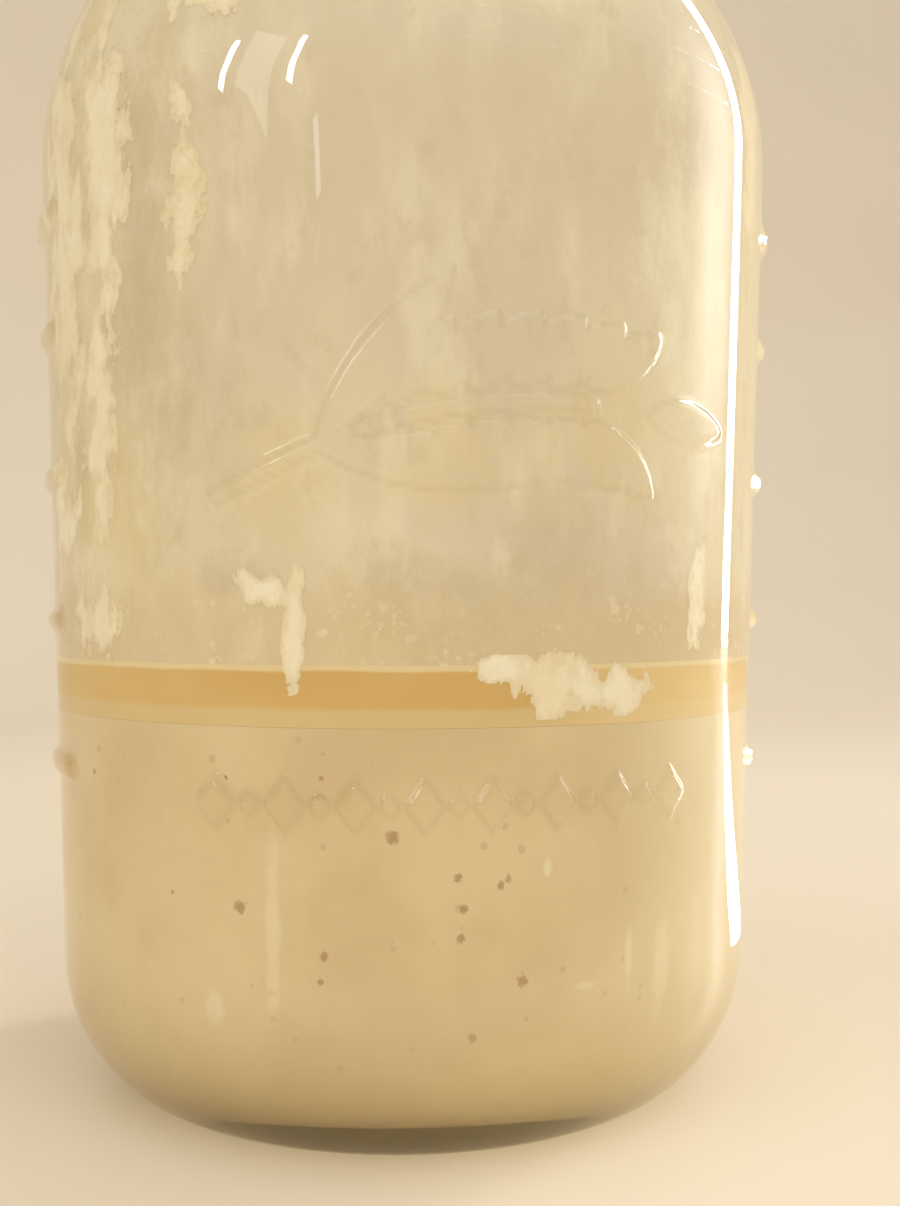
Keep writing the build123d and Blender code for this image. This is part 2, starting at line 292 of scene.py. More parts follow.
def sprigLenses():
    # centre, heading, length and width of each grain and leaf
    o = ornament
    tip = stemPlace(o["stemEnd"], o["grainLength"])
    lenses = [(*tip, o["grainLength"], o["grainWidth"])]
    for side in (1.0, -1.0):
        leaf = stemPlace(o["leafShare"], o["leafLength"] / 2.0, 0.0, side * o["leafLean"])
        lenses.append((*leaf, o["leafLength"], o["leafWidth"]))
        for index in range(o["grainPairs"]):
            share = o["grainStart"] + (o["stemEnd"] - o["grainStart"]) * index / (o["grainPairs"] - 1)
            centre, heading = stemPlace(share, o["grainLength"] / 4.0, side * o["grainOffset"])
            lenses.append((centre, heading + side * o["grainLean"], o["grainLength"], o["grainWidth"]))
    return lenses


def sprigDistance(x, z):
    o = ornament
    tilt = math.radians(o["tilt"])
    level = z - o["sprigLevel"]
    x, z = x * math.cos(tilt) + level * math.sin(tilt), level * math.cos(tilt) - x * math.sin(tilt)
    aside = np.abs(np.hypot(x, z + o["bow"]) - o["bow"]) - o["stemWidth"] / 2.0
    swing = np.arctan2(x, z + o["bow"]) / math.asin(o["halfSpan"] / o["bow"])
    ends = (np.abs(swing - (o["stemEnd"] - 1.0) / 2.0) - (o["stemEnd"] + 1.0) / 2.0) * o["halfSpan"]
    nearest = np.maximum(aside, ends)
    for lens in sprigLenses():
        nearest = np.minimum(nearest, lensDistance(x, z, *lens))
    return nearest


def rowDistance(x, z):
    # lozenges with dots between them
    o = ornament
    step = 2.0 * o["rowHalfSpan"] / (o["rowCount"] - 1)
    wide, high = o["lozengeWidth"] / 2.0, o["lozengeHeight"] / 2.0
    v = np.abs(z - o["rowLevel"])
    nearest = np.full_like(x, farAway)
    for index in range(2 * o["rowCount"] - 1):
        u = np.abs(x + o["rowHalfSpan"] - index * step / 2.0)
        lozenge = (u / wide + v / high - 1.0) * wide * high / math.hypot(wide, high)
        dot = np.hypot(u, v) - o["dotRadius"]
        nearest = np.minimum(nearest, dot if index % 2 else lozenge)
    return nearest


def barDistance(x, z):
    o = ornament
    corner = o["barRound"]
    nearest = np.full_like(x, farAway)
    for index, share in enumerate(o["barShares"]):
        length = o["barShort"] if index % 2 else o["barLong"]
        u = np.abs(x) - length / 2.0 + corner
        v = np.abs(z - jar["shoulderLevel"] * share) - o["barHeight"] / 2.0 + corner
        outside = np.hypot(np.maximum(u, 0), np.maximum(v, 0)) + np.minimum(np.maximum(u, v), 0)
        nearest = np.minimum(nearest, outside - corner)
    return nearest


def raisedBy(distance):
    return ornament["height"] * smooth(0.5 - distance / ornament["soft"])


def outsideGap(level):
    return next(gap for top, gap in ornament["gaps"] if level <= top)


def makeGlass():
    o = ornament
    bead, lip = jar["beadSize"], jar["lipBend"]
    beadCentre = jar["neckRadius"] - bead * jar["beadShown"]
    low = -math.degrees(math.acos(jar["beadShown"]))
    high = math.degrees(math.acos((finishRadius - beadCentre) / bead))
    beadLine = arcPoints((beadCentre, beadLevel), bead, low, high - low, 8)
    under = domePoints(bearingInner, 0.0, jar["pushUp"]) + [(bearingOuter, 0.0)]
    side = runLine(under[-1], 0.0, footMoves + [(sideLength, 0)] + upperMoves(0), 4.0)[1:-1]
    land = finishRadius - mouthRadius - 2.0 * lip
    rim = runLine((finishRadius, rimLevel - lip), 90.0, [(lip, 90.0), (land, 0), (lip, 90.0)], 18.0)
    outside = resample(side + beadLine + rim[:1], outsideGap)
    inside = resample(insidePoints(jar["wall"])[::-1], lambda level: jar["insideGap"])
    glass = turnPiece("jar_glass", under + outside + rim[1:] + inside, jar["spins"], crease=180.0)
    places = readPlaces(glass)
    x, y, z = places.T
    radius = np.hypot(x, y)
    azimuth = np.degrees(np.arctan2(x, -y))
    lift = np.zeros_like(radius)
    onSide = (z > o["lowest"]) & (z < o["highest"]) & (radius > sideRadius(z) - jar["wall"] / 2.0)
    front = onSide & (np.abs(azimuth) < o["frontReach"])
    figures = np.minimum(sprigDistance(x[front], z[front]), rowDistance(x[front], z[front]))
    lift[front] = raisedBy(figures)
    for turn in (o["barAzimuth"], -o["barAzimuth"]):
        near = onSide & (np.abs(azimuth - turn) < o["barReach"])
        across = radius[near] * np.sin(np.radians(azimuth[near] - turn))
        lift[near] = np.maximum(lift[near], raisedBy(barDistance(across, z[near])))
    raised = lift / o["height"]
    # painted shade: the glass colour is darkened halfway up each slope of the raised ornament
    flankShade = glass.data.attributes.new("flankShade", "FLOAT", "POINT")      # 1 halfway up each slope
    flankShade.data.foreach_set("value", 4.0 * raised * (1.0 - raised))
    onFinish = (z > beadLevel + bead) & (z < rimLevel - lip) & (radius > finishRadius - lip)
    screw = (threadLevel, jar["threadTurns"], jar["threadHalfWidth"], jar["threadSoft"])
    lift[onFinish] = jar["threadDepth"] * ridge(x[onFinish], y[onFinish], z[onFinish], *screw)
    places[:, :2] *= (1.0 + lift / np.maximum(radius, 1.0))[:, None]
    writePlaces(glass, places)
    return glass


glass = makeGlass()
print("glass turned, with", len(glass.data.polygons), "faces")


# What the jar holds
contents = dict(
    overlap=0.05,             # sunk into the glass, so that no air shows between them
    columns=180, sideGap=3.0,
    creepUp=0.7, creepReach=2.2, creepCurve=2.5, creepSteps=4,     # the liquid climbs the glass
    filmThickness=0.25, filmRows=60,
    doughWaves=0.5, waveScale=0.08, waveMargin=1.0, settled=0.02, lifted=0.3,
    topShares=(0.97, 0.9, 0.8, 0.65, 0.5, 0.35, 0.2, 0.1, 0.0),
)
insideAt = insideRadius(jar["wall"] - contents["overlap"])


def turnContents(name, line, closed=False):
    return turnPiece(name, line, [(contents["columns"], 360.0)], closed)


def makeStarter():
    top = jar["starterLevel"]
    edge = insideAt(top)
    side = [point for point in insidePoints(jar["wall"] - contents["overlap"]) if point[1] <= top]
    line = resample(side + [(edge, top)], lambda level: contents["sideGap"])
    line += [(edge * share, top) for share in contents["topShares"]]
    starter = turnContents("starter_dough", line)
    places = readPlaces(starter)
    for place in places:               # the top is softly uneven
        if abs(place[2] - top) < touching and math.hypot(*place[:2]) < edge - contents["waveMargin"]:
            seed = Vector((*(place[:2] * contents["waveScale"]), 3.0))
            place[2] += contents["doughWaves"] * noise.noise(seed)
    writePlaces(starter, places)
    return starter


def makeHooch():
    low, top = jar["starterLevel"] + contents["settled"], hoochLevel
    raised = low + contents["lifted"]
    line = [(0.0, raised), (20.0, raised), (40.0, raised), (insideAt(low), low)]
    for share in (0.25, 0.5, 0.75):
        level = low + (top - low) * share
        line.append((insideAt(level), level))
    for index in range(contents["creepSteps"] + 1):
        away = index / contents["creepSteps"]
        climb = contents["creepUp"] * (1.0 - away) ** contents["creepCurve"]
        line.append((insideAt(top) - contents["creepReach"] * away, top + climb))
    return turnContents("hooch_liquid", line + [(30.0, top), (20.0, top), (10.0, top), (0.0, top)])


def makeFilm():
    inner = insideRadius(jar["wall"] + contents["filmThickness"])
    low, high = hoochLevel + contents["creepUp"], rimLevel - jar["filmMargin"]
    levels = list(np.linspace(low, high, contents["filmRows"] + 1))
    line = [(insideAt(level), level) for level in levels]
    line += [(inner(level), level) for level in levels[::-1]]
    return turnContents("film_on_glass", line, closed=True)


starter = makeStarter()
hooch = makeHooch()
film = makeFilm()
print("contents made")


# Thick smears: one grid laid on the inside of the glass, cut to their ragged outlines
smears = dict(
    grid=0.45, thickness=0.8, rim=0.05, proud=0.02, spread=1.55, cut=-0.55, fullAt=0.7,
    drawnOut=1.6, seedStep=7.3, ragEnd=1.3, fallOff=2.0, crease=55.0,
    swellLow=0.75, swellRange=0.7, swellScale=0.35,       # the thickness swells and sinks
    fractal=(0.8, 2.1, 5),    # roughness, lacunarity and octaves
    lowest=hoochLevel - 5.8, highest=rimLevel - jar["filmMargin"],
    # azimuth, half width in degrees, lowest and highest level, raggedness, size of its lumps, thickness
    places=(
        (-69, 7, 82, 134, 1.7, 3.4, 1), (-55, 5.5, 97, 132, 1.5, 3.2, 0.8),
        (-38.5, 3.2, 98, 118, 1.3, 2.8, 0.6), (-34, 6, 128, 140, 1.6, 3.6, 0.6),
        (-57, 3.6, 73, 99, 1.6, 3, 0.7), (-72, 6, 67, 80, 1.6, 3, 0.8),
        (-60, 7, 57.2, 66, 1.6, 2.6, 0.9), (-22.5, 1.7, 53.4, 66.5, 0.9, 2.5, 0.8),
        # the three smears over the liquid band, at 7, 15 and 24 degrees, are a painted reflection: a pale
        # sheet put where a window is mirrored on the glass
        (-27.5, 4.2, 63.2, 66.6, 1.1, 2.2, 0.6), (7, 5, 54.8, 57.6, 1, 2.6, 0.6),
        (15, 6.5, 50.8, 57.4, 1.3, 3.2, 0.6), (24, 6, 51, 56, 1.3, 3.2, 0.4),
        (42, 2, 58, 70.5, 1.5, 2.2, 0.7), (58, 5, 110, 139, 1.5, 4.5, 0.9),
        (104, 8, 88, 127, 1.5, 5, 1), (148, 11, 69, 117, 1.5, 6, 1),
        (196, 7, 58, 87, 1.5, 4.5, 0.9), (236, 9, 91, 139, 1.5, 5, 1),
    ),
)


def smearAt(turn, level):
    # how deep inside a smear a place lies, and how thick that smear is
    best, thickness = -1.0, 0.0
    if not smears["lowest"] < level < smears["highest"]:
        return best, thickness
    for index, (azimuth, halfAngle, low, high, rag, lump, thick) in enumerate(smears["places"]):
        middle, tall = (low + high) / 2.0, (high - low) / 2.0
        u = ((turn - azimuth + 180.0) % 360.0 - 180.0) / halfAngle
        v = (level - middle) / tall
        far = max(abs(u), abs(v))
        if far > smears["spread"]:
            continue
        reach = insideAt(middle) * math.radians(halfAngle)
        seed = Vector((u * reach / lump, level / lump / smears["drawnOut"], index * smears["seedStep"]))
        value = 1.0 - math.hypot(u, v) + rag * noise.fractal(seed, *smears["fractal"]) * 0.5
        value -= smears["fallOff"] * max(0.0, far - smears["ragEnd"])
        if value > best:
            best, thickness = value, thick
    return best, thickness


def makeSmears():
    low, high = smears["lowest"], smears["highest"]
    middle, half = (low + high) / 2.0, (high - low) / 2.0
    columns = round(math.tau * insideAt(middle) / smears["grid"])
    rows = round((high - low) / smears["grid"])
    bpy.ops.mesh.primitive_grid_add(x_subdivisions=columns, y_subdivisions=rows, size=2.0)
    piece = bpy.context.object
    piece.name = "smears_on_glass"
    values = []
    thick = piece.vertex_groups.new(name="thick")
    for number, vertex in enumerate(piece.data.vertices):
        turn, level = 180.0 * vertex.co.x, middle + half * vertex.co.y
        value, thickness = smearAt(turn, level)
        values.append(value)
        vertex.co = around(turn, (insideAt(level) + smears["proud"]) * mm, level * mm)
        if value > smears["cut"]:
            share = min(1.0, max(0.0, value / smears["fullAt"]))
            lumps = noise.noise(vertex.co / mm * smears["swellScale"])
            swell = min(1.0, smears["swellLow"] + smears["swellRange"] * lumps)
            thick.add([number], max(smears["rim"], share * (2.0 - share) * swell * thickness), "REPLACE")
    cover = piece.data.attributes.new("cover", "FLOAT", "POINT")
    cover.data.foreach_set("value", values)
    switchTo("EDIT")
    bpy.ops.mesh.select_all(action="DESELECT")
    switchTo("OBJECT")
    piece.data.vertices.foreach_set("select", [value <= smears["cut"] for value in values])
    switchTo("EDIT")
    bpy.ops.mesh.delete(type="VERT")
    bpy.ops.mesh.select_all(action="SELECT")
    bpy.ops.mesh.delete_loose(use_verts=True, use_edges=True, use_faces=False)
    switchTo("OBJECT")
    shell = piece.modifiers.new("shell", "SOLIDIFY")
    shell.thickness = smears["thickness"] * mm
    shell.offset = -1.0
    shell.vertex_group = "thick"
    bpy.ops.object.modifier_apply(modifier="shell")
    bpy.ops.object.shade_smooth_by_angle(angle=math.radians(smears["crease"]))
    return piece


crust = makeSmears()
print("smears made, with", len(crust.data.polygons), "faces")


# The two-piece lid
lid = dict(
    sealGap=0.1, sealWidth=2.4, sealThickness=0.9, sealRound=0.3,
    discSheet=0.4, skirt=1.5, discClearance=0.45, panelRise=0.8, panelMargin=6.2, slopeRun=1.2,
    discRound=0.4, sealHollow=0.25, ringRadius=21.0, ringRise=0.28, ringHalfWidth=1.6, discColumns=160,
    bandGap=0.2, bandSheet=0.6, flange=5.0, bandHeight=18.0, corner=1.3, bandClearance=0.45,
    bandTurns=1.1, flankGap=0.4, curl=0.9, threadCrest=1.0, threadRoot=1.3, threadBack=1.7,
    threadSoft=0.6, groove=0.35, grooveHalfWidth=1.4, grooveSoft=1.2, bandColumns=256, bandGrid=0.45,
)
discLevel = rimLevel + lid["sealGap"] + lid["sealThickness"]
discRadius = finishRadius + lid["discClearance"] + lid["discSheet"]


def makeSeal():
    middle, half, bend = (mouthRadius + finishRadius) / 2.0, lid["sealWidth"] / 2.0, lid["sealRound"]
    rise = lid["sealThickness"] - 2.0 * bend
    moves = [(2.0 * (half - bend), 0), (bend, 90.0), (rise, 0), (bend, 90.0)]
    line = runLine((middle - half + bend, rimLevel + lid["sealGap"]), 0.0, moves * 2, 30.0)[:-1]
    return turnPiece("seal_ring", line, [(lid["discColumns"], 360.0)], closed=True)


def makeDisc():
    top = discLevel + lid["discSheet"]
    inner = discRadius - lid["discSheet"]
    slopeOut = discRadius - lid["panelMargin"]
    slopeIn = slopeOut - lid["slopeRun"]

    def sheetLevel(r):
        rise = lid["panelRise"] * min(1.0, max(0.0, (slopeOut - r) / lid["slopeRun"]))
        share = min(1.0, abs(r - lid["ringRadius"]) / lid["ringHalfWidth"])
        return discLevel + rise - lid["ringRise"] * 0.5 * (1.0 + math.cos(math.pi * share))

    stops = [0.0, 6.0, 12.0, 18.0]
    stops += [lid["ringRadius"] + lid["ringHalfWidth"] * index / 4.0 for index in range(-4, 5)]
    stops += [24.0, 30.0, slopeIn - 0.5, slopeIn, (slopeIn + slopeOut) / 2.0, slopeOut, slopeOut + 0.5]
    lower = [(r, sheetLevel(r)) for r in stops]
    upper = [(r, level + lid["discSheet"]) for r, level in lower]
    moves = [(lid["discRound"], -90.0), (lid["skirt"] - lid["discRound"], 0)]
    edge = runLine((discRadius - lid["discRound"], top), 0.0, moves, 30.0)
    hollow = lid["sealHollow"]
    back = [(inner, top - lid["skirt"]), (inner, discLevel - hollow), (inner - hollow, discLevel)]
    return turnPiece("lid_plate", upper + edge + back + lower[::-1], [(lid["discColumns"], 360.0)])


def makeBand():
    curl, sheet, corner, gap = lid["curl"], lid["bandSheet"], lid["corner"], lid["bandGrid"]
    inner = max(finishRadius + jar["threadDepth"], discRadius) + lid["bandClearance"]
    outer = inner + sheet
    top = discLevel + lid["discSheet"] + lid["bandGap"] + sheet
    foot = top - lid["bandHeight"]
    bottom, side = foot + curl, top - corner
    line = [(inner, bottom)]
    line += arcPoints((outer + curl / 2.0, bottom), curl, -150.0, 255.0, 12)      # the rolled lower edge
    start = (outer, foot + 2.0 * curl + 0.2)
    line += [start] + evenly(start, (outer, side), round((side - start[1]) / gap))
    line += runLine((outer, side), 90.0, [(corner, 90.0)], 15.0)[1:]
    line += runLine((inner - lid["flange"] + sheet / 2.0, top), 180.0, [(sheet / 2.0, 180.0)], 45.0)
    line += runLine((inner - corner + sheet, top - sheet), 0.0, [(corner - sheet, -90.0)], 30.0)
    line += evenly((inner, side), (inner, bottom), round((side - bottom) / gap))[:-1]
    band = turnPiece("band_ring", line, [(lid["bandColumns"], 360.0)], closed=True)
    places = readPlaces(band)
    x, y, z = places.T
    radius = np.hypot(x, y)
    inward = np.zeros_like(radius)
    depth = inner - finishRadius - lid["bandClearance"]
    threadFoot = threadLevel - lid["threadBack"] - lid["threadCrest"] - lid["flankGap"]
    for wall, low, size, halfWidth, soft in (
        (inner, bottom + 0.2, depth, lid["threadRoot"], lid["threadSoft"]),
        (outer, start[1] + 0.1, lid["groove"], lid["grooveHalfWidth"], lid["grooveSoft"]),
    ):
        near = (np.abs(radius - wall) < touching) & (z > low) & (z < side)
        screw = (threadFoot, lid["bandTurns"], halfWidth, soft)
        inward[near] = size * ridge(x[near], y[near], z[near], *screw)
    places[:, :2] *= (1.0 - inward / radius)[:, None]
    writePlaces(band, places)
    return band


seal = makeSeal()
disc = makeDisc()
band = makeBand()
print("lid made")


# Materials: small helpers first
def tint(red, green, blue):
    # a colour given as it looks on screen, as the shader wants it
    values = []
    for part in (red, green, blue):
        share = part / 255.0
        values.append(share / 12.92 if share <= 0.04045 else ((share + 0.055) / 1.055) ** 2.4)
    return (*values, 1.0)


def feed(node, key, value):
    if isinstance(value, bpy.types.NodeSocket):
        value.id_data.links.new(value, node.inputs[key])
    else:
        node.inputs[key].default_value = value


def addNode(kind, sockets=None, tree=None, **settings):
    # where no tree is given, the node goes into that of the sockets that feed it
    sockets = sockets or {}
    if tree is None:
        tree = next(value.id_data for value in sockets.values() if isinstance(value, bpy.types.NodeSocket))
    node = tree.nodes.new("ShaderNode" + kind)
    for name, value in settings.items():
        setattr(node, name, value)
    for key, value in sockets.items():
        feed(node, key, value)
    return node


def maths(operation, *values):
    return addNode("Math", dict(enumerate(values)), operation=operation).outputs[0]


def times(first, second):
    return maths("MULTIPLY", first, second)


def plus(first, second):
    return maths("ADD", first, second)


def minus(first, second):
    return maths("SUBTRACT", first, second)


def larger(first, second):
    return maths("MAXIMUM", first, second)


def mix(share, first, second):
    return addNode("Mix", {0: share, 6: first, 7: second}, data_type="RGBA").outputs[2]


def ramp(value, low, high, start=0.0, end=1.0):
    sockets = {"Value": value, "From Min": low, "From Max": high, "To Min": start, "To Max": end}
    return addNode("MapRange", sockets, interpolation_type="SMOOTHSTEP").outputs[0]


def newGroup(name, takes, gives):
    # all its sockets are numbers, but for Point
    group = bpy.data.node_groups.new(name, "ShaderNodeTree")
    for side, labels in (("INPUT", takes), ("OUTPUT", gives)):
        for label in labels:
            kind = "NodeSocketVector" if label == "Point" else "NodeSocketFloat"
            socket = group.interface.new_socket(name=label, in_out=side, socket_type=kind)
            if side == "INPUT" and label != "Point":
                socket.default_value = takes[label]
    return group, group.nodes.new("NodeGroupInput").outputs, group.nodes.new("NodeGroupOutput")


def useGroup(group, sockets, tree=None):
    return addNode("Group", sockets, tree, node_tree=group).outputs


def makePlaceGroup():
    # where a point lies on the jar: millimetres, degrees round from the front, height
    group, _, result = newGroup("jarPlace", {}, ["Point", "Azimuth", "Height"])
    coords = addNode("TexCoord", tree=group).outputs["Object"]
    point = addNode("VectorMath", {0: coords, 3: 1.0 / mm}, operation="SCALE").outputs[0]
    x, y, z = addNode("SeparateXYZ", {0: point}).outputs
    feed(result, "Point", point)
    feed(result, "Azimuth", maths("DEGREES", maths("ARCTAN2", x, times(y, -1.0))))
    feed(result, "Height", z)
    return group


def makeMottleGroup():
    # soft clouds, drawn out upwards by Stretch
    takes = dict(Point=None, Scale=0.1, Stretch=1.0, Detail=4.0, Roughness=0.55, Low=0.35, High=0.65)
    group, given, result = newGroup("mottle", takes, ["Value", "Raw"])
    drawn = addNode("CombineXYZ", {0: 1.0, 1: 1.0, 2: maths("DIVIDE", 1.0, given["Stretch"])})
    sockets = {0: given["Point"], 1: drawn.outputs[0]}
    point = addNode("VectorMath", sockets, operation="MULTIPLY")
    sockets = {label: given[label] for label in ("Scale", "Detail", "Roughness")}
    raw = addNode("TexNoise", {"Vector": point.outputs[0], **sockets}).outputs[0]
    feed(result, "Value", ramp(raw, given["Low"], given["High"]))
    feed(result, "Raw", raw)
    return group


def makePatchGroup():
    # a ragged oval at one place on the jar
    takes = dict(Azimuth=0.0, Height=0.0, Turn=0.0, Level=0.0)
    takes.update(HalfTurn=5.0, HalfHeight=5.0, Rag=0.0, Edge=0.3)
    group, given, result = newGroup("patch", takes, ["Mask"])
    away = maths("WRAP", minus(given["Azimuth"], given["Turn"]), 180.0, -180.0)
    across = maths("DIVIDE", away, given["HalfTurn"])
    up = maths("DIVIDE", minus(given["Height"], given["Level"]), given["HalfHeight"])
    far = maths("SQRT", plus(times(across, across), times(up, up)))
    inside = plus(minus(1.0, far), given["Rag"])
    feed(result, "Mask", ramp(inside, times(given["Edge"], -1.0), given["Edge"]))
    return group


def makeSpeckGroup():
    # scattered round specks, some of the cells left empty
    takes = dict(Point=None, Scale=0.3, Size=0.2, Chance=0.5)
    group, given, result = newGroup("specks", takes, ["Mask", "Depth"])
    cells = addNode("TexVoronoi", {"Vector": given["Point"], "Scale": given["Scale"]}).outputs
    parts = addNode("SeparateColor", {0: cells["Color"]}).outputs
    kept = maths("LESS_THAN", parts[0], given["Chance"])
    size = times(given["Size"], plus(parts[1], 0.4))
    near = ramp(cells["Distance"], times(size, 0.55), size, 1.0, 0.0)
    feed(result, "Mask", times(near, kept))
    feed(result, "Depth", times(cells["Distance"], kept))
    return group


jarPlace = makePlaceGroup()
mottle = makeMottleGroup()
patch = makePatchGroup()
specks = makeSpeckGroup()


def newMaterial(name, **values):
    material = bpy.data.materials.new(name)
    material.use_nodes = True
    shader = material.node_tree.nodes["Principled BSDF"]
    for key, value in values.items():
        feed(shader, key.replace("_", " "), value)
    return material, shader, useGroup(jarPlace, {}, material.node_tree)


def texture(group, place, settings):
    # the settings are the group's own sockets, in small letters
    sockets = {name.capitalize(): value for name, value in settings.items()}
    return useGroup(group, dict(sockets, Point=place["Point"]))


def clouds(place, share=None, **settings):
    value = texture(mottle, place, settings)["Value"]
    return times(value, share) if share else value


def rawClouds(place, **settings):
    return texture(mottle, place, settings)["Raw"]


def wobble(place, size, **settings):
    # as much below nought as above it
    return times(minus(rawClouds(place, **settings), 0.5), size)


def spot(place, rag, turn, level, halfTurn, halfHeight, edge=0.3):
    values = (place["Azimuth"], place["Height"], turn, level, halfTurn, halfHeight, rag, edge)
    return useGroup(patch, dict(enumerate(values)))["Mask"]


def dots(place, **settings):
    return texture(specks, place, settings)


def bump(shader, height, distance, strength=0.5):
    sockets = {"Height": height, "Distance": distance, "Strength": strength}
    feed(shader, "Normal", addNode("Bump", sockets).outputs[0])


def attribute(shader, name):
    return addNode("Attribute", tree=shader.id_data, attribute_name=name).outputs["Fac"]


def lightRay(shader):
    # 1 for the rays that carry light to other surfaces
    path = addNode("LightPath", tree=shader.id_data).outputs
    return larger(path["Is Shadow Ray"], path["Is Diffuse Ray"])


glassLook = dict(
    colour=(1.0, 1.0, 0.99, 1.0), roughness=0.015, ior=1.5,
    waves=dict(scale=0.05, stretch=1.6, detail=2), bump=dict(distance=0.3 * mm, strength=0.25),
    through=(0.98, 0.98, 0.96, 1.0), body=(0.62, 0.58, 0.2, 1.0), density=14.0,
    # painted shade on the flanks of the ornament
    flankShadeColour=(0.62, 0.54, 0.4, 1.0), flankShadeShare=0.4,          # the flanks of the ornament
)


def glassMaterial():
    look = glassLook
    values = dict(Transmission_Weight=1.0, Roughness=look["roughness"], IOR=look["ior"])
    material, shader, place = newMaterial("clearGlass", **values)
    # painted shade: darker glass colour halfway up the ornament's slopes
    flankShade = times(attribute(shader, "flankShade"), look["flankShadeShare"])
    feed(shader, "Base Color", mix(flankShade, look["colour"], look["flankShadeColour"]))
    bump(shader, rawClouds(place, **look["waves"]), **look["bump"])
    tree = material.node_tree
    clear = addNode("BsdfTransparent", {"Color": look["through"]}, tree)
    shaders = {0: lightRay(shader), 1: shader.outputs[0], 2: clear.outputs[0]}
    feed(tree.nodes["Material Output"], "Surface", addNode("MixShader", shaders).outputs[0])
    sockets = {"Color": look["body"], "Density": look["density"]}
    body = addNode("VolumeAbsorption", sockets, tree)
    feed(tree.nodes["Material Output"], "Volume", body.outputs[0])
    return material


doughLook = dict(
    plain=tint(213, 186, 141), pale=tint(223, 199, 154), dark=tint(198, 168, 120),
    # one pale tone serves the dry marks, the paler bottom and the painted light on the right-hand side
    browning=0.7, fleck=tint(164, 120, 76), pore=tint(188, 158, 112), paleDryAndLit=tint(236, 220, 184),
    tone=dict(scale=0.045, detail=5), dimmed=dict(scale=0.16, stretch=1.4, low=0.5, high=0.8, share=0.22),
    pores=dict(scale=0.42, size=0.2, chance=0.3), poreShare=0.45, poreDepth=0.4,
    specks=dict(scale=0.2, size=0.075, chance=0.35), bumpHeight=0.4 * mm,
    rag=dict(size=1.2, scale=0.5, detail=3), frayed=dict(size=2.4, scale=1.6, detail=3),
    # azimuth, height and size
    flecks=(
        (-18.5, 25.1, 0.55), (-31.2, 29.9, 0.8), (0.8, 27.0, 0.6), (9.8, 21.9, 0.7), (2.6, 16.0, 0.55),
        (6.6, 32.7, 0.5), (1.2, 30.2, 0.55), (-8.8, 38.1, 0.75), (0.4, 33.6, 0.5), (7.6, 33.3, 0.45),
    ),
    # paler places: azimuth, height, half width in degrees, half height, strength
    marks=(
        (-26.1, 27.5, 1, 8.5, 0.5), (-36, 18.2, 1.4, 1.6, 0.7), (27.9, 22.8, 0.7, 3, 0.7),
        (35, 20.5, 1.6, 5.5, 0.75), (13.6, 34.2, 0.6, 0.9, 0.8), (20, 20.6, 1.6, 0.4, 0.6),
        (44, 19, 2, 9, 0.4), (100, 22, 3, 9, 0.6), (210, 30, 6, 5, 0.5),
    ),
    # paler towards the bottom; then painted light: the right-hand side painted paler, as lit from the
    # right
    low=2.0, high=26.0, lowShare=0.6, paintedLightPatch=(80.0, 25.0, 50.0, 300.0, 0.45), paintedLightShare=0.6,
)


def doughMaterial():
    look = doughLook
    material, shader, place = newMaterial("dough", Roughness=0.55, IOR=1.4)
    colour = mix(clouds(place, **look["tone"]), look["plain"], look["pale"])
    colour = mix(clouds(place, **look["dimmed"]), colour, look["dark"])
    pores = dots(place, **look["pores"])
    colour = mix(times(pores["Mask"], look["poreShare"]), colour, look["pore"])
    rag, frayed = wobble(place, **look["rag"]), wobble(place, **look["frayed"])
    browned = dots(place, **look["specks"])["Mask"]
    for turn, level, size in look["flecks"]:
        browned = larger(browned, spot(place, frayed, turn, level, size * 1.05, size * 0.85, 0.45))
    colour = mix(times(browned, look["browning"]), colour, look["fleck"])
    for *where, strength in look["marks"]:
        colour = mix(times(spot(place, rag, *where, 0.5), strength), colour, look["paleDryAndLit"])
    # paler towards the bottom
    heel = ramp(place["Height"], look["low"], look["high"], look["lowShare"], 0.0)
    colour = mix(heel, colour, look["paleDryAndLit"])
    # painted light: the right-hand side painted paler, as lit from the right
    colour = mix(times(spot(place, 0.0, *look["paintedLightPatch"]), look["paintedLightShare"]), colour, look["paleDryAndLit"])
    feed(shader, "Base Color", colour)
    bump(shader, times(pores["Depth"], look["poreDepth"]), look["bumpHeight"])
    return material


hoochLook = dict(
    plain=tint(212, 172, 98), pale=tint(220, 184, 116), edge=tint(238, 220, 176), edgeShare=0.7,
    settled=tint(220, 194, 140), settledLow=1.6, settledHigh=2.5, settledShare=0.75,
    tone=dict(scale=0.03, stretch=0.6, detail=3), wobble=dict(size=0.6, scale=0.12),
    # painted light: the right-hand side of the liquid painted paler, as lit from the right
    light=tint(236, 208, 152), paintedLightPatch=(75.0, hoochLevel, 54.0, 300.0, 0.17), paintedLightShare=0.6,
)


def hoochMaterial():
    look = hoochLook
    material, shader, place = newMaterial("liquid", Roughness=0.08, IOR=1.34)
    colour = mix(clouds(place, **look["tone"]), look["plain"], look["pale"])
    height = plus(place["Height"], wobble(place, **look["wobble"]))
    low, high = jar["starterLevel"] + look["settledLow"], jar["starterLevel"] + look["settledHigh"]
    colour = mix(times(ramp(height, low, high, 1.0, 0.0), look["settledShare"]), colour, look["settled"])
    # painted light on the right-hand side of the liquid
    colour = mix(times(spot(place, 0.0, *look["paintedLightPatch"]), look["paintedLightShare"]), colour, look["light"])
    upper = ramp(height, hoochLevel - 0.1, hoochLevel + 0.3)
    feed(shader, "Base Color", mix(times(upper, look["edgeShare"]), colour, look["edge"]))
    return material


